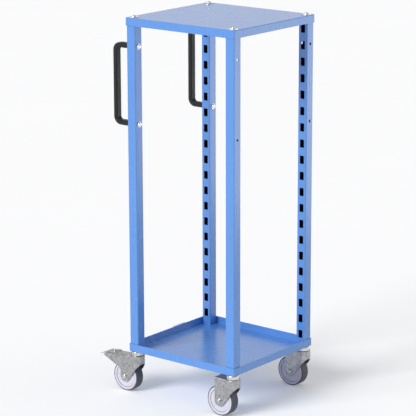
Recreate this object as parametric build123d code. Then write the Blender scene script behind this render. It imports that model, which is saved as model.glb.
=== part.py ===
from build123d import *
import math
import os

# A mobile rack frame: a sheet-steel pan at the top and one at the bottom, joined by four
# slotted box posts, with two bow handles at the back and a swivel castor under each post.
# The castors at the back have a pedal brake.
# X runs from the handles towards the open front, Y across the frame and Z up. The origin is
# on the floor, midway between the furthest points in X and in Y. All sizes are in mm.

# Pans
pan_length = 408.0            # X, over the rims
pan_width = 390.0             # Y, over the rims
pan_rim = 24.0                # height of the folded rim
pan_sheet = 2.0
pan_corner_radius = 3.0
pan_fold_radius = 1.6
frame_height = 1032.0         # underside of the bottom pan to the top of the top pan

# Posts
post_size = 32.0              # outside, both ways
post_wall = 2.0
post_corner_radius = 3.0
post_gap = 0.3                # between a post and the rims around it
slot_width = 15.0
slot_height = 25.0
slot_corner_radius = 2.0
slot_pitch = 50.0
slot_start = 41.7             # underside of the bottom pan to the centre of the lowest slot
slot_margin = 36.0            # least distance from a slot's centre to the top of the frame
plate_thickness = 8.0         # tapped plates welded into both ends of a post
plate_gap = 0.15              # between a tapped plate and the post's walls

# Handles
handle_drop = 86.5            # top of the frame to the upper handle screw
handle_spacing = 235.0        # between the two screws of a handle
handle_reach = 60.0           # from the post to the outside of the grip
grip_depth = 15.0             # X on the grip, Z on the legs
grip_width = 22.0             # Y
grip_chamfer = 3.0
handle_bend_radius = 17.5     # on the centre line
insert_radius = 5.2           # threaded inserts moulded into the legs
insert_length = 20.0
seat_gap = 0.02               # radial, between pieces that are moulded or pressed together

# Screws of the handles and of the top pan
screw_radius = 4.0
screw_hole_radius = 4.5
screw_head_radius = 7.0
screw_head_height = 4.4
screw_socket = 5.0            # across flats
screw_socket_depth = 2.6
screw_tip = 0.8               # chamfer at the end of a thread
screw_engagement = 16.0       # length held by a handle's insert
dome_rim = 0.2                # share of a domed head's height that is straight
dome_flat = 0.5               # share of its radius that is flat on top
hex_shoulder = 0.8            # share of a hexagon's height below its turned corners
top_washer_radius = 15.0
handle_washer_radius = 8.5
washer_bore = 4.2
washer_thickness = 1.6
thread_gap = 0.03             # radial, between a thread and what it is screwed into

# Castor fixing
fixing_radius = 6.0           # bolt up through the swivel head
fixing_head_flats = 18.0
fixing_head_height = 7.5
fixing_end = 3.0              # length of the bolt above its tapped plate
fixing_gap = 0.1              # radial, between the bolt and the hollow rivet
rivet_radius = 8.5            # hollow rivet that the fork swivels on
rivet_flange_radius = 13.0
rivet_flange = 2.2
rivet_play = 0.5              # between the crown of the fork and the rivet's flange
swivel_gap = 0.3              # radial, between the rivet and the crown
race_wall = 2.0
race_round = 3.0
race_inset = 2.0              # the race is this much smaller in radius than the fork's nose
race_lift = 1.0               # gap between the race's lip and the crown
ball_radius = 3.0
ball_count = 12
ball_gap = 0.05
ball_side_gap = 0.5           # between the balls and the race's wall

# Fork
fork_sheet = 2.5
crown_drop = 13.5             # underside of the pan to the top of the crown
crown_back = 20.0             # a braked crown ends this far behind the swivel axis
nose_bulge = 2.5              # the round nose stands out this far from the flat legs
crease_radius = 3.0
crown_round = 1.5
leg_end_radius = 16.5         # round end of a leg about the axle
front_edge_angle = 51.4       # slope of the legs' front edge, in degrees
castor_trail = 38.0           # swivel axis to axle
tread_clearance = 23.0        # crown to tread

# Wheel and axle
wheel_radius = 47.0
wheel_width = 30.0
wheel_side_gap = 2.0          # between the wheel's face and a leg
tread_thickness = 3.5
tread_shoulder = 2.2
tread_gap = 0.02
rim_band = 7.5                # flat band of the wheel's face, inside the tread
disc_recess = 1.5
hub_radius = 14.0
hub_play = 0.5                # between the hub and a leg
edge_round = 0.6
sleeve_radius = 6.0
sleeve_gap = 0.08             # running fit of the hub on its sleeve
axle_radius = 4.0
axle_gap = 0.1                # radial, between the axle bolt and what it passes through
axle_head_radius = 7.5
axle_end_height = 5.0         # head on one side and nut on the other
axle_nut_flats = 13.0

# Brake
ear_length = 67.5             # ear of the braked fork, behind the leg
ear_step = 5.0                # the ear's top edge lies this much under the crown
ear_top_fall = 6.5            # fall of that edge towards the tip
ear_tip_height = 8.0
ear_curve = ((22.3, 53.0), (9.1, 56.5), (0.0, 66.0))  # ear into leg: behind the leg, under the pan
ear_round = 4.0
pivot_back = 30.0             # swivel axis to pedal pin
pivot_drop = 27.0             # pan to pedal pin
pin_radius = 3.0
pin_gap = 0.05
pin_head_radius = 4.5
pin_head = 1.0
pin_head_chamfer = 0.6
pedal_sheet = 2.4
pedal_side_gap = 0.5          # between the pedal and the ears
pedal_start_back = 24.0       # swivel axis to the front edge of the pedal
pedal_valley_back = 74.0
pedal_ridge_back = 84.0
pedal_bend_back = 118.0
pedal_reach = 140.0           # swivel axis to the tip of the pedal
pedal_top_drop = 17.0         # pan to the pedal's top face at its front edge
pedal_valley_fall = 3.0
pedal_ridge_fall = 0.5
pedal_bend_fall = 5.0
pedal_tip_fall = 16.0
pedal_corner_radius = 5.0
flange_depth = 16.5           # sides of the pedal at the pin, under its top face
flange_end_depth = 6.0
flange_level = 12.0           # length of the flange's level edge behind the pin
brake_travel = 6.0            # degrees that the pedal goes down to lock the wheel
brake_gap = 0.3               # left between shoe and tread when locked
shoe_side_gap = 0.8           # between the shoe and the pedal's sides
shoe_plate = 3.0              # thickness of the shoe's fixing plate
shoe_plate_length = 17.0
shoe_length = 17.0            # the part that meets the tread
shoe_drop = 18.0              # top of the tread to the lower end of the shoe
shoe_root = 6.0               # depth of the root under the fixing plate
shoe_bite = 0.75              # overlap of root and plate, which are one moulding
stud_setback = 9.0            # ridge of the pedal to the stud that holds the shoe
stud_radius = 3.0
stud_head_radius = 5.0
stud_head = 2.4
stud_head_round = 2.1

# Heights and places that follow from these
axle_drop = crown_drop + fork_sheet + tread_clearance + wheel_radius
floor_to_pan = axle_drop + wheel_radius
frame_top = floor_to_pan + frame_height
post_height = frame_height - 2 * pan_sheet
post_x = pan_length / 2 - pan_sheet - post_gap - post_size / 2
post_y = pan_width / 2 - pan_sheet - post_gap - post_size / 2
plate_side = post_size - 2 * post_wall - 2 * plate_gap
fork_inner = wheel_width + 2 * wheel_side_gap
fork_outer = fork_inner + 2 * fork_sheet
nose_radius = fork_outer / 2 + nose_bulge
race_radius = nose_radius - race_inset
flange_top = crown_drop + fork_sheet + rivet_play
leg_back = castor_trail + leg_end_radius
rim_radius = wheel_radius - tread_thickness
pedal_half = fork_inner / 2 - pedal_side_gap
handle_height = frame_height - handle_drop - handle_spacing / 2

# Corners, seen by someone pushing at the handles
CORNERS = {
    "rear_right": (-1, -1),
    "rear_left": (-1, 1),
    "front_right": (1, -1),
    "front_left": (1, 1),
}


def ring(outer, inner, height):
    """A flat ring standing on Z = 0."""
    return extrude(Circle(outer) - Circle(inner), height)


def on_side(outline, half_width):
    """A closed outline in X and Z, made solid to both sides of Y = 0."""
    return extrude(make_face(Plane.XZ * outline), half_width, both=True)


def along_y(solid):
    """Turns a solid from the Z axis to the Y axis, with its top towards -Y."""
    return Rot(90, 0, 0) * solid


# ------------------------------------------------------------------ frame

def pan(hole_radius):
    """A pan with its rim up, standing on Z = 0, with a hole under each post."""
    shell = Box(pan_length, pan_width, pan_rim, align=(Align.CENTER, Align.CENTER, Align.MIN))
    shell = fillet(shell.edges().filter_by(Axis.Z), pan_corner_radius)
    shell = fillet(shell.faces().sort_by(Axis.Z)[0].edges(), pan_fold_radius)
    well = RectangleRounded(
        pan_length - 2 * pan_sheet, pan_width - 2 * pan_sheet, pan_corner_radius - pan_sheet
    )
    shell -= Pos(0, 0, pan_sheet) * extrude(well, pan_rim)
    for side_x, side_y in CORNERS.values():
        shell -= Pos(side_x * post_x, side_y * post_y, 0) * Cylinder(hole_radius, 4 * pan_sheet)
    return shell


def bottom_pan():
    return Pos(0, 0, floor_to_pan) * pan(fixing_radius + fixing_gap)


def top_pan():
    return Pos(0, 0, frame_top) * Rot(180, 0, 0) * pan(screw_hole_radius)


def slot_heights():
    """Heights of the slots above the underside of the bottom pan."""
    count = 1 + int((frame_height - slot_margin - slot_start) // slot_pitch)
    return [slot_start + slot_pitch * i for i in range(count)]


def post(slotted_side):
    """A box post on the origin, slotted on its +Y (1) or -Y (-1) face."""
    outside = RectangleRounded(post_size, post_size, post_corner_radius)
    hollow = post_size - 2 * post_wall
    tube = extrude(
        outside - RectangleRounded(hollow, hollow, post_corner_radius - post_wall), post_height
    )
    slot = extrude(
        Plane.XZ * RectangleRounded(slot_width, slot_height, slot_corner_radius),
        post_wall, both=True,
    )
    wall_y = slotted_side * (post_size - post_wall) / 2
    for height in slot_heights():
        tube -= Pos(0, wall_y, height - pan_sheet) * slot
    for height in (handle_height - handle_spacing / 2, handle_height + handle_spacing / 2):
        tube -= Pos(0, 0, height - pan_sheet) * Rot(0, 90, 0) * Cylinder(
            screw_hole_radius, 2 * post_size
        )
    return tube


def tapped_plate(thread_radius):
    """A tapped plate that closes the end of a post, standing on Z = 0."""
    plate = extrude(RectangleRounded(plate_side, plate_side, post_wall), plate_thickness)
    return plate - Cylinder(thread_radius + thread_gap, 4 * plate_thickness)


# ------------------------------------------------------------------ fasteners

def dome_screw(shank_radius, length, head_radius, head_height):
    """A round-headed screw with a hexagon socket: head above Z = 0, shank below."""
    rim = dome_rim * head_height
    flat = dome_flat * head_radius
    bulge = math.sqrt(0.5)
    middle = (flat + bulge * (head_radius - flat), rim + bulge * (head_height - rim))
    half = make_face(
        Polyline((0, head_height), (0, 0), (head_radius, 0), (head_radius, rim))
        + ThreePointArc((head_radius, rim), middle, (flat, head_height))
        + Line((flat, head_height), (0, head_height))
    )
    head = revolve(Plane.XZ * half, Axis.Z)
    socket = RegularPolygon(screw_socket / math.sqrt(3), 6)
    head -= Pos(0, 0, head_height - screw_socket_depth) * extrude(socket, head_height)
    shank = Pos(0, 0, -length) * Cylinder(
        shank_radius, length, align=(Align.CENTER, Align.CENTER, Align.MIN)
    )
    shank = chamfer(shank.edges().sort_by(Axis.Z)[0], screw_tip)
    return head + shank


def hexagon(flats, height):
    """A hexagon standing on Z = 0, with its upper corners turned off on a cone."""
    corner = flats / math.sqrt(3)
    cone = make_face(
        Polyline(
            (0, 0), (corner, 0), (corner, hex_shoulder * height),
            (flats / 2, height), (0, height), (0, 0),
        )
    )
    return extrude(RegularPolygon(corner, 6), height) & revolve(Plane.XZ * cone, Axis.Z)


def hex_bolt(shank_radius, length, flats, head_height):
    """A hexagon bolt: head above Z = 0, shank below."""
    head = hexagon(flats, head_height)
    shank = Pos(0, 0, -length) * Cylinder(
        shank_radius, length, align=(Align.CENTER, Align.CENTER, Align.MIN)
    )
    shank = chamfer(shank.edges().sort_by(Axis.Z)[0], screw_tip)
    return head + shank


def top_screw():
    length = washer_thickness + pan_sheet + plate_thickness + fixing_end
    return dome_screw(screw_radius, length, screw_head_radius, screw_head_height)


def handle_screw():
    length = washer_thickness + post_size + screw_engagement
    return dome_screw(screw_radius, length, screw_head_radius, screw_head_height)


# ------------------------------------------------------------------ handle

def handle():
    """A bow handle whose feet stand on X = 0, centred on Z = 0 and reaching to -X."""
    grip_x = grip_depth / 2 - handle_reach
    half = handle_spacing / 2
    path = FilletPolyline(
        (0, 0, half), (grip_x, 0, half), (grip_x, 0, -half), (0, 0, -half),
        radius=handle_bend_radius,
    )
    section = Plane((0, 0, half), x_dir=(0, 1, 0), z_dir=(-1, 0, 0)) * Rectangle(
        grip_width, grip_depth
    )
    section = chamfer(section.vertices(), grip_chamfer)
    bow = sweep(section, path)
    for end in (-half, half):
        bow -= Pos(-insert_length / 2, 0, end) * Rot(0, 90, 0) * Cylinder(
            insert_radius + seat_gap, insert_length
        )
    return bow


def handle_insert():
    """A threaded insert whose open end is on X = 0, reaching to -X."""
    tube = ring(insert_radius, screw_radius + thread_gap, insert_length)
    return Rot(0, -90, 0) * tube


# ------------------------------------------------------------------ castor
# A castor is drawn with its swivel axis on Z and the pan's underside at Z = 0. The wheel
# trails behind the axis, in -X.

def axle_place():
    return Pos(-castor_trail, 0, -axle_drop)


def swivel_race():
    """The upper ball race, fixed under the pan."""
    lip = crown_drop - race_lift
    roof = crown_drop - 2 * ball_radius - 2 * ball_gap
    cup = Pos(0, 0, -lip) * Cylinder(
        race_radius, lip, align=(Align.CENTER, Align.CENTER, Align.MIN)
    )
    cup = fillet(cup.edges().sort_by(Axis.Z)[-1], race_round)
    cup -= Pos(0, 0, -roof - lip) * Cylinder(
        race_radius - race_wall, lip, align=(Align.CENTER, Align.CENTER, Align.MIN)
    )
    return cup - Cylinder(rivet_radius + seat_gap, 4 * lip)


def race_balls():
    """The balls between the race and the crown, as separate solids."""
    pitch_radius = race_radius - race_wall - ball_side_gap - ball_radius
    height = ball_radius + ball_gap - crown_drop
    return [
        Rot(0, 0, 360 * i / ball_count) * Pos(pitch_radius, 0, height) * Sphere(ball_radius)
        for i in range(ball_count)
    ]


def swivel_rivet():
    """The hollow rivet that holds the fork up against its race."""
    depth = flange_top + rivet_flange
    rivet = Pos(0, 0, -depth) * ring(rivet_flange_radius, fixing_radius + fixing_gap, rivet_flange)
    return rivet + Pos(0, 0, -depth) * ring(rivet_radius, fixing_radius + fixing_gap, depth)


def fixing_bolt():
    """The bolt from under the swivel head up into the tapped plate in the post."""
    length = flange_top + rivet_flange + pan_sheet + plate_thickness + fixing_end
    bolt = hex_bolt(fixing_radius, length, fixing_head_flats, fixing_head_height)
    return Pos(0, 0, -flange_top - rivet_flange) * Rot(180, 0, 0) * bolt


def fork_plan(half_width, round_radius):
    """The fork seen from above: a round nose and two straight sides."""
    back = Pos(-leg_back / 2, 0) * Rectangle(leg_back, 2 * half_width)
    plan = Circle(round_radius) + back
    creases = [v for v in plan.vertices() if -round_radius < v.X < -crease_radius]
    return fillet(creases, crease_radius)


def leg_outline(braked):
    """The fork seen from the side."""
    angle = math.radians(front_edge_angle)
    axle_x = -castor_trail
    axle_z = -axle_drop
    front = (axle_x + leg_end_radius * math.sin(angle), axle_z - leg_end_radius * math.cos(angle))
    nose = (nose_radius, front[1] + (nose_radius - front[0]) * math.tan(angle))
    top = -crown_drop
    turn = math.radians(front_edge_angle - 270) / 2
    under = (axle_x + leg_end_radius * math.cos(turn), axle_z + leg_end_radius * math.sin(turn))
    upper = [(-leg_back, top)]
    if braked:
        ear_back = -leg_back - ear_length
        upper = [
            (-crown_back, top),
            (-pivot_back, top - ear_step),
            (ear_back + ear_round, top - ear_step - ear_top_fall),
            (ear_back, top - ear_step - ear_top_fall - ear_tip_height),
            *[(-leg_back - back, -drop) for back, drop in ear_curve],
        ]
    line = Polyline(front, nose, (nose_radius, top), *upper, (-leg_back, axle_z))
    return line + ThreePointArc((-leg_back, axle_z), under, front)


def fork(braked):
    """A pressed fork: crown, round nose and two legs, with ears if it carries a brake."""
    depth = axle_drop + leg_end_radius
    reach = leg_back + (ear_length if braked else 0)
    outer = fork_plan(fork_outer / 2, nose_radius)
    inner = fork_plan(fork_inner / 2, nose_radius - fork_sheet)
    blank = Pos(0, 0, -crown_drop - depth) * extrude(outer, depth)
    bends = blank.faces().sort_by(Axis.Z)[-1].edges().filter_by(Axis.Y, reverse=True)
    blank = fillet(bends, crown_round)
    core = Pos(0, 0, -crown_drop - fork_sheet - depth) * extrude(inner, depth)
    if braked:
        ears = Pos(-crown_back - reach / 2, 0, -crown_drop - depth / 2)
        blank += ears * Box(reach, fork_outer, depth)
        core += Pos(-crown_back - reach, 0, -crown_drop) * Box(2 * reach, fork_inner, 4 * depth)
    press = (blank - core) & on_side(leg_outline(braked), 2 * nose_radius)
    press -= Cylinder(rivet_radius + swivel_gap, 4 * crown_drop)
    press -= axle_place() * along_y(Cylinder(axle_radius + axle_gap, 2 * fork_outer))
    if braked:
        press -= Pos(-pivot_back, 0, -pivot_drop) * along_y(
            Cylinder(pin_radius + pin_gap, 2 * fork_outer)
        )
    return press


def axle_bolt():
    length = fork_outer + axle_end_height
    bolt = dome_screw(axle_radius, length, axle_head_radius, axle_end_height)
    return axle_place() * Pos(0, -fork_outer / 2, 0) * along_y(bolt)


def axle_nut():
    nut = hexagon(axle_nut_flats, axle_end_height)
    nut -= Cylinder(axle_radius + thread_gap, 4 * axle_end_height)
    return axle_place() * Pos(0, fork_outer / 2, 0) * Rot(-90, 0, 0) * nut


def axle_sleeve():
    sleeve = ring(sleeve_radius, axle_radius + axle_gap, fork_inner)
    return axle_place() * Pos(0, fork_inner / 2, 0) * along_y(sleeve)


def wheel_centre():
    """A moulded wheel centre: hub, recessed disc and flat band under the tread."""
    hub_half = fork_inner / 2 - hub_play
    face = wheel_width / 2
    bore = sleeve_radius + sleeve_gap
    band = rim_radius - rim_band
    upper = [
        (bore, hub_half), (hub_radius, hub_half), (hub_radius, face - disc_recess),
        (band, face - disc_recess), (band, face), (rim_radius, face),
    ]
    lower = [(radius, -height) for radius, height in reversed(upper)]
    section = make_face(Polyline(*upper, *lower, upper[0]))
    section = fillet(section.vertices().filter_by(lambda v: v.X < rim_radius - edge_round), edge_round)
    return axle_place() * revolve(section, Axis.Y)


def tread():
    inner = rim_radius + tread_gap
    section = Pos((inner + wheel_radius) / 2, 0) * Rectangle(wheel_radius - inner, wheel_width)
    shoulders = section.vertices().filter_by(lambda v: v.X > wheel_radius - tread_gap)
    section = fillet(shoulders, tread_shoulder)
    return axle_place() * revolve(section, Axis.Y)


# ------------------------------------------------------------------ brake

def pivot_place():
    return Pos(-pivot_back, 0, -pivot_drop)


def pedal_top():
    """The top face of the pedal from its front edge to its tip, as points in X and Z."""
    return [
        (-pedal_start_back, -pedal_top_drop),
        (-pedal_valley_back, -pedal_top_drop - pedal_valley_fall),
        (-pedal_ridge_back, -pedal_top_drop - pedal_ridge_fall),
        (-pedal_bend_back, -pedal_top_drop - pedal_bend_fall),
        (-pedal_reach, -pedal_top_drop - pedal_tip_fall),
    ]


def stud_place():
    """A plane on the pedal's top face at the stud, with Z away from the pedal."""
    ridge, bend = pedal_top()[2:4]
    slope = math.atan2(ridge[1] - bend[1], ridge[0] - bend[0])
    x = ridge[0] - stud_setback * math.cos(slope)
    z = ridge[1] - stud_setback * math.sin(slope)
    return Pos(x, 0, z) * Rot(0, -math.degrees(slope), 0)


def pedal():
    """A channel-shaped pedal: a bent top plate with two side flanges at the pin."""
    top = pedal_top()
    under = [(x, z - pedal_sheet) for x, z in reversed(top)]
    plate = on_side(Polyline(*top, *under, top[0]), pedal_half)
    length = pedal_reach - pedal_start_back
    corners = Pos(-pedal_start_back - length / 2, 0, -pedal_reach) * extrude(
        RectangleRounded(length, 2 * pedal_half, pedal_corner_radius), 2 * pedal_reach
    )
    plate &= corners
    depth = -pedal_top_drop - flange_depth
    end_x = -pedal_bend_back + pedal_corner_radius
    sides = Polyline(
        (-pedal_start_back, -pedal_top_drop - pedal_sheet / 2),
        (-pedal_start_back, depth),
        (-pivot_back - flange_level, depth),
        (end_x, -pedal_top_drop - pedal_bend_fall - flange_end_depth),
        (end_x, -pedal_top_drop - pedal_bend_fall - pedal_sheet / 2),
        (-pedal_ridge_back, -pedal_top_drop - pedal_ridge_fall - pedal_sheet / 2),
        (-pedal_valley_back, -pedal_top_drop - pedal_valley_fall - pedal_sheet / 2),
        (-pedal_start_back, -pedal_top_drop - pedal_sheet / 2),
    )
    flanges = on_side(sides, pedal_half) - on_side(sides, pedal_half - pedal_sheet)
    lever = plate + flanges
    lever -= pivot_place() * along_y(Cylinder(pin_radius + pin_gap, 2 * fork_outer))
    return lever - stud_place() * Cylinder(stud_radius + seat_gap, 4 * pedal_sheet)


def pedal_pin():
    """The riveted pin through the ears and the pedal."""
    pin = Cylinder(pin_radius, fork_outer)
    for side in (-1, 1):
        head = Pos(0, 0, side * (fork_outer + pin_head) / 2) * Cylinder(pin_head_radius, pin_head)
        outer_edge = head.edges().sort_by(Axis.Z)[-1 if side > 0 else 0]
        pin += chamfer(outer_edge, pin_head_chamfer)
    return pivot_place() * along_y(pin)


def brake_shoe():
    """The shoe under the pedal, shaped to lie on the tread when the pedal is down."""
    half = pedal_half - pedal_sheet - shoe_side_gap
    lift = Pos(0, 0, -pedal_sheet - shoe_plate / 2)
    plate = stud_place() * lift * Box(shoe_plate_length, 2 * half, shoe_plate)
    corner = plate.faces().sort_by(Axis.X)[-1].center()
    back = corner.X - shoe_root
    front = -pedal_ridge_back + shoe_length
    top = corner.Z + shoe_bite
    low = -axle_drop + wheel_radius - shoe_drop
    arm = Polyline(
        (back, top),
        (back, corner.Z - shoe_bite),
        (-pedal_ridge_back, low),
        (front, low),
        (front, corner.Z - shoe_root),
        (corner.X, corner.Z - shoe_bite),
        (corner.X, top),
        (back, top),
    )
    shoe = plate + on_side(arm, half)
    tyre = axle_place() * along_y(Cylinder(wheel_radius + brake_gap, 2 * wheel_width))
    pressed = pivot_place() * Rot(0, brake_travel, 0) * pivot_place().inverse() * tyre
    shoe -= pressed
    shoe = shoe.solids().sort_by(SortBy.VOLUME)[-1]
    return shoe - stud_place() * Cylinder(stud_radius + seat_gap, 8 * shoe_plate)


def brake_stud():
    """The stud through pedal and shoe, with a domed head on top of the pedal."""
    length = pedal_sheet + shoe_plate
    head = Cylinder(stud_head_radius, stud_head, align=(Align.CENTER, Align.CENTER, Align.MIN))
    head = fillet(head.edges().sort_by(Axis.Z)[-1], stud_head_round)
    return stud_place() * (head + Pos(0, 0, -length / 2) * Cylinder(stud_radius, length))


# ------------------------------------------------------------------ assembly

def castor(braked):
    """The pieces of one castor, by name."""
    pieces = {
        "fork": fork(braked),
        "race_balls": race_balls(),
        "axle_bolt": axle_bolt(),
        "axle_nut": axle_nut(),
        "axle_sleeve": axle_sleeve(),
        "wheel_centre": wheel_centre(),
        "tread": tread(),
    }
    if braked:
        pieces["brake_pedal"] = pedal()
        pieces["pedal_pin"] = pedal_pin()
        pieces["brake_shoe"] = brake_shoe()
        pieces["brake_stud"] = brake_stud()
    return pieces


def at_corners(make, height, turn=Rot(0, 0, 0)):
    """A copy of one piece at each corner."""
    return [
        Pos(side_x * post_x, side_y * post_y, height) * turn * make()
        for side_x, side_y in CORNERS.values()
    ]


def at_handle_screws(make, x):
    """A copy of one piece at each handle screw, at a distance x from the posts' axes."""
    return [
        Pos(x - post_x, side * post_y, floor_to_pan + handle_height + end * handle_spacing / 2)
        * make()
        for side in (-1, 1)
        for end in (-1, 1)
    ]


def assemble():
    """All nodes by name, each a list of solids, with the middle of the frame on X = 0."""
    nodes = {"bottom_pan": [bottom_pan()], "top_pan": [top_pan()]}
    floor = floor_to_pan + pan_sheet
    roof = frame_top - pan_sheet
    for corner, (side_x, side_y) in CORNERS.items():
        place = Pos(side_x * post_x, side_y * post_y, floor)
        nodes["post_" + corner] = [place * post(-side_y)]
    nodes["post_foot_plates"] = at_corners(lambda: tapped_plate(fixing_radius), floor)
    nodes["post_head_plates"] = at_corners(
        lambda: tapped_plate(screw_radius), roof - plate_thickness
    )
    nodes["top_washers"] = at_corners(
        lambda: ring(top_washer_radius, washer_bore, washer_thickness), frame_top
    )
    nodes["top_screws"] = at_corners(top_screw, frame_top + washer_thickness)
    for side, name in ((-1, "handle_right"), (1, "handle_left")):
        place = Pos(-post_x - post_size / 2, side * post_y, floor_to_pan + handle_height)
        nodes[name] = [place * handle()]
    nodes["handle_inserts"] = at_handle_screws(handle_insert, -post_size / 2)
    nodes["handle_washers"] = at_handle_screws(
        lambda: Rot(0, 90, 0) * ring(handle_washer_radius, washer_bore, washer_thickness),
        post_size / 2,
    )
    nodes["handle_screws"] = at_handle_screws(
        lambda: Rot(0, 90, 0) * handle_screw(), post_size / 2 + washer_thickness
    )
    nodes["castor_races"] = at_corners(swivel_race, floor_to_pan)
    nodes["castor_rivets"] = at_corners(swivel_rivet, floor_to_pan)
    nodes["castor_bolts"] = at_corners(fixing_bolt, floor_to_pan)
    kinds = {True: castor(True), False: castor(False)}
    for corner, (side_x, side_y) in CORNERS.items():
        place = Pos(side_x * post_x, side_y * post_y, floor_to_pan)
        for name, piece in kinds[side_x < 0].items():
            solids = piece if isinstance(piece, list) else [piece]
            nodes[name + "_" + corner] = [place * solid for solid in solids]
    return nodes


def main():
    nodes = assemble()
    box = Compound([solid for solids in nodes.values() for solid in solids]).bounding_box()
    centre = Pos(-(box.min.X + box.max.X) / 2, 0, 0)
    os.makedirs("parts", exist_ok=True)
    for name, solids in nodes.items():
        placed = [centre * solid for solid in solids]
        export_step(placed[0] if len(placed) == 1 else Compound(placed), f"parts/{name}.step")


main()
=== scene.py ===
import math

import bpy
from mathutils import Matrix, Vector


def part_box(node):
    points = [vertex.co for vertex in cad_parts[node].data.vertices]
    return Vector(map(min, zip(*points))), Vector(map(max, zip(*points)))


# Looks for a mobile rack frame in light-blue sheet steel. Sizes are in metres.

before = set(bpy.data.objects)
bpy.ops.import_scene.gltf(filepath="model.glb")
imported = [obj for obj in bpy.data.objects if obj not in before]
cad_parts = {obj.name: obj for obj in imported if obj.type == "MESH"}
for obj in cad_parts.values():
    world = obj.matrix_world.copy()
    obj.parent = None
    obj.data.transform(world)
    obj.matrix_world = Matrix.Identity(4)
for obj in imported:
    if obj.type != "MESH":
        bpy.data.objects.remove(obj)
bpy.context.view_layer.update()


# ------------------------------------------------------------------ material building

class Finish:
    """A procedural material, built around one Principled shader."""

    def __init__(self, name, **constants):
        self.material = bpy.data.materials.new(name)
        self.material.use_nodes = True
        self.tree = self.material.node_tree
        self.shader = self.tree.nodes["Principled BSDF"]
        for key, value in constants.items():
            self.shader.inputs[key.replace("_", " ")].default_value = value
        self.place = self.add("ShaderNodeTexCoord").outputs["Object"]

    def add(self, kind, **settings):
        node = self.tree.nodes.new(kind)
        for key, value in settings.items():
            setattr(node, key, value)
        return node

    def plug(self, source, socket):
        """Links an output, or sets a constant, on an input."""
        if isinstance(source, bpy.types.NodeSocket):
            self.tree.links.new(source, socket)
        else:
            socket.default_value = source

    def drive(self, name, source):
        self.tree.links.new(source, self.shader.inputs[name])

    def stretched(self, stretch):
        """The object's coordinates, stretched along its axes."""
        mapping = self.add("ShaderNodeMapping")
        self.plug(self.place, mapping.inputs["Vector"])
        mapping.inputs["Scale"].default_value = stretch
        return mapping.outputs["Vector"]

    def noise(self, size, detail=3.0, rough=0.5, warp=0.0, at=None):
        """Noise whose blotches are about size metres across."""
        node = self.add("ShaderNodeTexNoise")
        self.plug(at or self.place, node.inputs["Vector"])
        node.inputs["Scale"].default_value = 0.5 / size
        node.inputs["Detail"].default_value = detail
        node.inputs["Roughness"].default_value = rough
        node.inputs["Distortion"].default_value = warp
        return node.outputs["Fac"]

    def cells(self, size, feature="F1", shade=False, at=None):
        """Voronoi cells about size metres across: their distance field or a shade a cell."""
        node = self.add("ShaderNodeTexVoronoi", feature=feature)
        self.plug(at or self.place, node.inputs["Vector"])
        node.inputs["Scale"].default_value = 1.0 / size
        return node.outputs["Color"] if shade else node.outputs["Distance"]

    def remap(self, value, low, high, to_low=0.0, to_high=1.0):
        """Takes low..high to to_low..to_high, and stops there."""
        node = self.add("ShaderNodeMapRange", interpolation_type="SMOOTHSTEP")
        self.plug(value, node.inputs["Value"])
        limits = {"From Min": low, "From Max": high, "To Min": to_low, "To Max": to_high}
        for key, number in limits.items():
            node.inputs[key].default_value = number
        return node.outputs["Result"]

    def maths(self, operation, *values):
        node = self.add("ShaderNodeMath", operation=operation)
        for value, socket in zip(values, node.inputs):
            self.plug(value, socket)
        return node.outputs["Value"]

    def blend(self, share, first, second):
        """A colour between first and second."""
        node = self.add("ShaderNodeMix", data_type="RGBA")
        self.plug(share, node.inputs["Factor"])
        self.plug(first, node.inputs["A"])
        self.plug(second, node.inputs["B"])
        return node.outputs["Result"]

    def edges(self, radius):
        """1 on a convex or concave edge, falling to 0 within radius of it, and the rounded normal."""
        soft = self.add("ShaderNodeBevel", samples=6)
        soft.inputs["Radius"].default_value = radius
        real = self.add("ShaderNodeNewGeometry").outputs["Normal"]
        turn = self.add("ShaderNodeVectorMath", operation="DOT_PRODUCT")
        self.plug(soft.outputs["Normal"], turn.inputs[0])
        self.plug(real, turn.inputs[1])
        return self.remap(turn.outputs["Value"], 0.97, 0.80), soft.outputs["Normal"]

    def bump(self, height, depth, normal=None):
        """A bump whose height of 0..1 stands for depth metres."""
        node = self.add("ShaderNodeBump")
        self.plug(height, node.inputs["Height"])
        node.inputs["Strength"].default_value = 1.0
        node.inputs["Distance"].default_value = depth
        if normal:
            self.plug(normal, node.inputs["Normal"])
        return node.outputs["Normal"]


def rgb(red, green, blue):
    return (red, green, blue, 1.0)


# ------------------------------------------------------------------ the object's finishes

def inside_posts(coat):
    """1 in the hollow of the posts, 0 on their walls and everywhere outside; it masks the painted shade
    in the hollow.
    """
    low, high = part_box("post_front_left")
    near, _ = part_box("post_rear_left")
    across, along = (low.x + high.x) / 2, (low.y + high.y) / 2
    middle = (near.x + high.x) / 2
    wall = 0.00195  # a hair under the thickness of a post's wall
    hollow = (high.x - low.x) / 2 - wall
    parts = coat.add("ShaderNodeSeparateXYZ")
    coat.plug(coat.place, parts.inputs["Vector"])
    offsets = []
    for axis, centre, reach in (("X", middle, across - middle), ("Y", 0.0, along)):
        from_middle = coat.maths("ABSOLUTE", coat.maths("SUBTRACT", parts.outputs[axis], centre))
        offsets.append(coat.maths("ABSOLUTE", coat.maths("SUBTRACT", from_middle, reach)))
    return coat.maths("LESS_THAN", coat.maths("MAXIMUM", *offsets), hollow)


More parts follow.
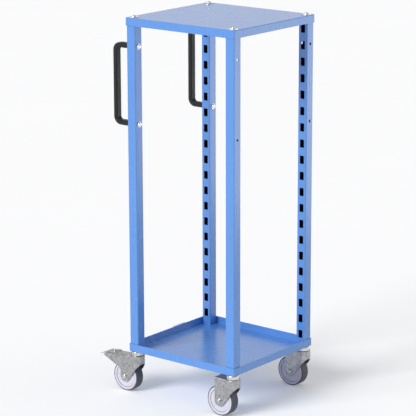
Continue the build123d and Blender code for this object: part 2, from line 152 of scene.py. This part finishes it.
def powder_coat(name, hollow=False):
    """Light-blue powder coat: fine orange peel, faint rubbed patches, paler edges that are part wear
    and part painted highlight, and, with hollow, painted shade in near black inside the posts.
    """
    coat = Finish(name, Specular_IOR_Level=0.5, Coat_Weight=0.6, Coat_Roughness=0.25)
    broad = coat.noise(0.16, detail=2.0)
    hazy = coat.noise(0.035, detail=5.0, rough=0.62, warp=0.4)
    edge, soft = coat.edges(0.0009)
    base = coat.blend(coat.remap(broad, 0.3, 0.7), rgb(0.072, 0.222, 0.580), rgb(0.080, 0.236, 0.605))
    rubbed = coat.remap(hazy, 0.50, 0.78, 0.0, 0.08)
    base = coat.blend(rubbed, base, rgb(0.110, 0.270, 0.610))
    broken = coat.noise(0.004, detail=4.0, rough=0.7)
    # paler blue along every edge, broken up by noise: part wear, part a painted highlight
    wear_and_highlight = coat.maths("MULTIPLY", edge, coat.remap(broken, 0.40, 0.62, 0.10, 0.55))
    base = coat.blend(wear_and_highlight, base, rgb(0.200, 0.380, 0.700))
    # painted shade: with hollow, the inside of the posts is coloured near black
    if hollow:
        base = coat.blend(inside_posts(coat), base, rgb(0.004, 0.006, 0.014))
    coat.drive("Base Color", base)
    smear = coat.noise(0.02, detail=6.0, rough=0.6, at=coat.stretched((1.0, 1.0, 0.25)))
    coat.drive("Roughness", coat.remap(smear, 0.3, 0.75, 0.26, 0.31))
    peel = coat.noise(0.0011, detail=2.0, rough=0.4)
    waves = coat.noise(0.007, detail=1.0)
    height = coat.maths("ADD", coat.maths("MULTIPLY", peel, 0.5), waves)
    coat.drive("Normal", coat.bump(height, 0.00001, soft))
    return coat.material


def grip_plastic():
    """Black glass-filled nylon: fine sparked grain, polished where hands hold it, with a painted
    highlight in paler grey along its edges.
    """
    nylon = Finish("nylon_black", Specular_IOR_Level=0.28)
    grain = nylon.cells(0.0007)
    hands = nylon.noise(0.05, detail=3.0, rough=0.55)
    edge, soft = nylon.edges(0.0008)
    fibres = nylon.noise(0.003, detail=6.0, rough=0.75)
    fibred = nylon.remap(fibres, 0.35, 0.7)
    base = nylon.blend(fibred, rgb(0.008, 0.0085, 0.010), rgb(0.016, 0.0165, 0.019))
    # painted highlight: a paler grey along every edge
    base = nylon.blend(nylon.maths("MULTIPLY", edge, 0.5), base, rgb(0.070, 0.072, 0.080))
    nylon.drive("Base Color", base)
    nylon.drive("Roughness", nylon.remap(hands, 0.35, 0.68, 0.50, 0.34))
    nylon.drive("Normal", nylon.bump(grain, 0.00008, soft))
    return nylon.material


def zinc_plate(name, dark, light, dull, shiny):
    """Zinc-plated pressed steel: fine mottling, draw marks and a painted highlight, near white, along
    its bends and edges.
    """
    zinc = Finish(name, Metallic=1.0)
    spangle = zinc.cells(0.0030, shade=True, at=zinc.stretched((1.0, 1.0, 0.8)))
    split = zinc.add("ShaderNodeSeparateColor")
    zinc.plug(spangle, split.inputs["Color"])
    cloud = zinc.noise(0.0045, detail=6.0, rough=0.70, warp=0.8)
    speck = zinc.noise(0.0012, detail=4.0, rough=0.75)
    shade = zinc.maths("ADD", zinc.maths("MULTIPLY", split.outputs["Red"], 0.14), cloud)
    shade = zinc.maths("ADD", shade, zinc.maths("MULTIPLY", speck, 0.6))
    shades = (0.60, 1.14)
    base = zinc.blend(zinc.remap(shade, *shades), dark, light)
    edge, soft = zinc.edges(0.0010)
    # painted highlight: bends and edges are coloured near white
    base = zinc.blend(zinc.maths("MULTIPLY", edge, 0.7), base, rgb(0.86, 0.86, 0.85))
    zinc.drive("Base Color", base)
    zinc.drive("Roughness", zinc.remap(shade, *shades, dull, shiny))
    draw = zinc.noise(0.0012, detail=4.0, rough=0.6, at=zinc.stretched((1.0, 1.0, 0.12)))
    height = zinc.maths("ADD", cloud, zinc.maths("MULTIPLY", draw, 0.35))
    zinc.drive("Normal", zinc.bump(height, 0.00009, soft))
    return zinc.material


def bright_plate():
    """Bright zinc screws and washers: polished, with a trace of blue and fine tool marks."""
    bright = Finish("zinc_bright", Metallic=1.0)
    haze = bright.noise(0.004, detail=4.0, rough=0.6)
    tint = bright.noise(0.010, detail=2.0)
    base = bright.blend(bright.remap(haze, 0.35, 0.7), rgb(0.80, 0.81, 0.82), rgb(0.93, 0.93, 0.92))
    base = bright.blend(bright.remap(tint, 0.5, 0.8, 0.0, 0.35), base, rgb(0.74, 0.78, 0.84))
    bright.drive("Base Color", base)
    bright.drive("Roughness", bright.remap(haze, 0.3, 0.75, 0.14, 0.26))
    marks = bright.noise(0.0005, detail=2.0, rough=0.5)
    _, soft = bright.edges(0.0004)
    bright.drive("Normal", bright.bump(marks, 0.00002, soft))
    return bright.material


def ground_steel():
    """Hardened ground steel for balls and sleeves, with a film of grease."""
    steel = Finish("steel_ground", Metallic=1.0, Coat_Weight=0.5, Coat_Roughness=0.08)
    lap = steel.noise(0.0004, detail=3.0, rough=0.6, at=steel.stretched((1.0, 0.2, 1.0)))
    film = steel.noise(0.003, detail=3.0)
    greased = steel.remap(film, 0.4, 0.7)
    steel.drive("Base Color", steel.blend(greased, rgb(0.62, 0.61, 0.59), rgb(0.52, 0.49, 0.42)))
    steel.drive("Roughness", steel.remap(lap, 0.3, 0.7, 0.10, 0.24))
    steel.drive("Normal", steel.bump(lap, 0.000006))
    return steel.material


def turned_brass():
    """Brass of the threaded inserts, with turning marks around its axis."""
    brass = Finish("brass_turned", Metallic=1.0)
    rings = brass.noise(0.0004, detail=2.0, at=brass.stretched((1.0, 0.1, 0.1)))
    dull = brass.noise(0.003, detail=4.0, rough=0.6)
    tarnished = brass.remap(dull, 0.35, 0.7)
    brass.drive("Base Color", brass.blend(tarnished, rgb(0.78, 0.55, 0.24), rgb(0.60, 0.40, 0.17)))
    brass.drive("Roughness", brass.remap(dull, 0.3, 0.7, 0.24, 0.42))
    brass.drive("Normal", brass.bump(rings, 0.00003))
    return brass.material


def from_axle(pale):
    """Distance from the axle of the wheel that a point is on."""
    parts = pale.add("ShaderNodeSeparateXYZ")
    pale.plug(pale.place, parts.inputs["Vector"])
    reaches = []
    for wheel in ("tread_front_right", "tread_rear_right"):
        low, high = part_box(wheel)
        x = pale.maths("SUBTRACT", parts.outputs["X"], (low.x + high.x) / 2)
        z = pale.maths("SUBTRACT", parts.outputs["Z"], (low.z + high.z) / 2)
        squares = pale.maths("ADD", pale.maths("POWER", x, 2.0), pale.maths("POWER", z, 2.0))
        reaches.append(pale.maths("SQRT", squares))
    return pale.maths("MINIMUM", *reaches)


def wheel_plastic():
    """Pale grey moulded wheel centre: matt skin, flow lines, and painted shade along its edges and its
    groove ring.
    """
    pale = Finish("polypropylene_pale", Specular_IOR_Level=0.45,
                  Subsurface_Weight=0.08, Subsurface_Scale=0.002)
    flow = pale.noise(0.012, detail=4.0, rough=0.55, warp=1.2)
    dust = pale.noise(0.005, detail=6.0, rough=0.72)
    flowed = pale.remap(flow, 0.35, 0.7)
    base = pale.blend(flowed, rgb(0.500, 0.495, 0.590), rgb(0.560, 0.555, 0.640))
    edge, soft = pale.edges(0.0012)
    low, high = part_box("tread_front_right")
    tyre = (high.z - low.z) / 2
    groove_at = 0.757  # of the tyre's radius
    from_groove = pale.maths("ABSOLUTE", pale.maths("SUBTRACT", from_axle(pale), groove_at * tyre))
    groove = pale.remap(from_groove, 0.0012, 0.0004)
    # painted shade: edges and the groove ring are darkened, patchy with noise
    painted_shade = pale.maths("MAXIMUM", edge, pale.maths("MULTIPLY", groove, 0.85))
    painted_shade = pale.maths("MULTIPLY", painted_shade, pale.remap(dust, 0.35, 0.65, 0.70, 0.95))
    base = pale.blend(painted_shade, base, rgb(0.16, 0.16, 0.20))
    base = pale.blend(pale.remap(dust, 0.56, 0.80, 0.0, 0.20), base, rgb(0.36, 0.35, 0.40))
    pale.drive("Base Color", base)
    pale.drive("Roughness", pale.remap(dust, 0.3, 0.7, 0.36, 0.52))
    skin = pale.noise(0.0006, detail=2.0)
    pale.drive("Normal", pale.bump(skin, 0.00003, soft))
    return pale.material


def tread_rubber():
    """Dark slate rubber: fine grain, rolled along its running face, with a bloom of dust."""
    rubber = Finish("rubber_slate", Specular_IOR_Level=0.35)
    dust = rubber.noise(0.006, detail=6.0, rough=0.7)
    scuff = rubber.noise(0.0022, detail=5.0, rough=0.7, at=rubber.stretched((0.35, 2.2, 0.35)))
    dusty = rubber.remap(dust, 0.35, 0.7)
    base = rubber.blend(dusty, rgb(0.058, 0.060, 0.078), rgb(0.084, 0.087, 0.108))
    base = rubber.blend(rubber.remap(scuff, 0.52, 0.74, 0.0, 0.45), base, rgb(0.150, 0.152, 0.170))
    rubber.drive("Base Color", base)
    rubber.drive("Roughness", rubber.remap(dust, 0.3, 0.7, 0.52, 0.70))
    grain = rubber.cells(0.0009)
    height = rubber.maths("ADD", rubber.maths("MULTIPLY", grain, 0.4), scuff)
    _, soft = rubber.edges(0.0008)
    rubber.drive("Normal", rubber.bump(height, 0.00014, soft))
    return rubber.material


def shoe_plastic():
    """Dark grey moulded brake shoe, rubbed dull."""
    shoe = Finish("nylon_grey", Specular_IOR_Level=0.4)
    rub = shoe.noise(0.004, detail=5.0, rough=0.65)
    rubbed = shoe.remap(rub, 0.35, 0.7)
    shoe.drive("Base Color", shoe.blend(rubbed, rgb(0.045, 0.046, 0.050), rgb(0.085, 0.086, 0.092)))
    shoe.drive("Roughness", shoe.remap(rub, 0.3, 0.7, 0.45, 0.62))
    shoe.drive("Normal", shoe.bump(shoe.cells(0.0008), 0.00006))
    return shoe.material


finishes = {
    "blue_paint": powder_coat("powder_coat_blue"),
    "black_plastic": grip_plastic(),
    "zinc": zinc_plate("zinc_mottled", rgb(0.26, 0.262, 0.268), rgb(0.56, 0.562, 0.565), 0.42, 0.27),
    "bright_zinc": bright_plate(),
    "bare_steel": ground_steel(),
    "brass": turned_brass(),
    "wheel_plastic": wheel_plastic(),
    "tread_rubber": tread_rubber(),
    "shoe_plastic": shoe_plastic(),
}
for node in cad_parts.values():
    for slot in node.material_slots:
        slot.material = finishes[slot.material.name.split(".")[0]]
# the posts get a coat with painted shade, near black, in their hollow
post_coat_painted_shade = powder_coat("powder_coat_post_painted_shade", hollow=True)
turned_finish = zinc_plate("zinc_smooth", rgb(0.50, 0.505, 0.515), rgb(0.80, 0.80, 0.795), 0.27, 0.16)
for name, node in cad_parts.items():
    if name.startswith(("post_front", "post_rear")):
        node.material_slots[0].material = post_coat_painted_shade
    if name.startswith(("castor_races", "axle_bolt", "axle_nut", "brake_stud")):
        node.material_slots[0].material = turned_finish


# ------------------------------------------------------------------ floor, light and camera

def floor():
    """A large pale sheet under the wheels."""
    half = 60.0
    mesh = bpy.data.meshes.new("floor")
    corners = [(-half, -half, 0), (half, -half, 0), (half, half, 0), (-half, half, 0)]
    mesh.from_pydata(corners, [], [(0, 1, 2, 3)])
    sheet = bpy.data.objects.new("floor", mesh)
    bpy.context.scene.collection.objects.link(sheet)
    pale = Finish("floor_pale", Specular_IOR_Level=0.0, Emission_Strength=0.18)
    pale.shader.inputs["Emission Color"].default_value = rgb(1.0, 1.0, 1.0)
    grain = pale.noise(0.4, detail=3.0)
    pale.drive("Base Color", pale.blend(grain, rgb(0.80, 0.80, 0.80), rgb(0.83, 0.83, 0.83)))
    pale.drive("Roughness", pale.remap(grain, 0.3, 0.7, 0.75, 0.85))
    mesh.materials.append(pale.material)


def soft_sun(name, toward, strength, spread, mirrored=True):
    """A broad light as even as daylight, which comes from the direction toward."""
    light = bpy.data.lights.new(name, "SUN")
    light.energy = strength
    light.angle = math.radians(spread)
    lamp = bpy.data.objects.new(name, light)
    lamp.location = toward
    lamp.rotation_euler = Vector(toward).to_track_quat("Z", "Y").to_euler()
    lamp.visible_glossy = mirrored
    bpy.context.scene.collection.objects.link(lamp)


def white_board(name, place, width, height, power):
    """An upright board that the paint mirrors, but that lights nothing by itself."""
    light = bpy.data.lights.new(name, "AREA")
    light.shape = "RECTANGLE"
    light.size = width
    light.size_y = height
    light.energy = power
    lamp = bpy.data.objects.new(name, light)
    lamp.location = place
    lamp.rotation_euler = Vector((place[0], place[1], 0.0)).to_track_quat("Z", "Y").to_euler()
    lamp.visible_diffuse = False
    lamp.visible_camera = False
    bpy.context.scene.collection.objects.link(lamp)


def studio():
    """An even pale room, which the camera sees as white as the floor, and the lights in it."""
    world = bpy.data.worlds.new("studio")
    world.use_nodes = True
    tree = world.node_tree
    room = tree.nodes["Background"]
    room.inputs["Color"].default_value = rgb(0.97, 0.98, 1.0)
    room.inputs["Strength"].default_value = 0.48
    seen = tree.nodes.new("ShaderNodeBackground")
    seen.inputs["Color"].default_value = rgb(0.97, 0.975, 0.98)
    seen.inputs["Strength"].default_value = 1.0
    either = tree.nodes.new("ShaderNodeMixShader")
    tree.links.new(tree.nodes.new("ShaderNodeLightPath").outputs["Is Camera Ray"], either.inputs["Fac"])
    tree.links.new(room.outputs["Background"], either.inputs[1])
    tree.links.new(seen.outputs["Background"], either.inputs[2])
    tree.links.new(either.outputs["Shader"], tree.nodes["World Output"].inputs["Surface"])
    bpy.context.scene.world = world
    soft_sun("key", (-1.0, -4.2, 2.6), 2.72, 28.0)
    soft_sun("back", (-2.4, 4.2, 1.3), 0.13, 40.0)
    soft_sun("side", (3.6, 3.4, 0.1), 1.10, 50.0, mirrored=False)
    white_board("board", (1.5, 1.7, 0.50), 2.4, 0.98, 10.5)


def camera():
    """The photograph's viewpoint."""
    place = Vector((3.8112, -4.7497, 2.0927))
    target = Vector((0.0086, 0.0018, 0.5697))
    roll = math.radians(-0.15)
    lens = bpy.data.cameras.new("camera")
    lens.sensor_width = 36.0
    lens.lens = 178.1
    lens.clip_end = 200.0
    eye = bpy.data.objects.new("camera", lens)
    facing = (target - place).to_track_quat("-Z", "Y").to_matrix() @ Matrix.Rotation(roll, 3, "Z")
    eye.matrix_world = Matrix.Translation(place) @ facing.to_4x4()
    bpy.context.scene.collection.objects.link(eye)
    bpy.context.scene.camera = eye


floor()
studio()
camera()
bpy.context.scene.view_settings.view_transform = "Standard"
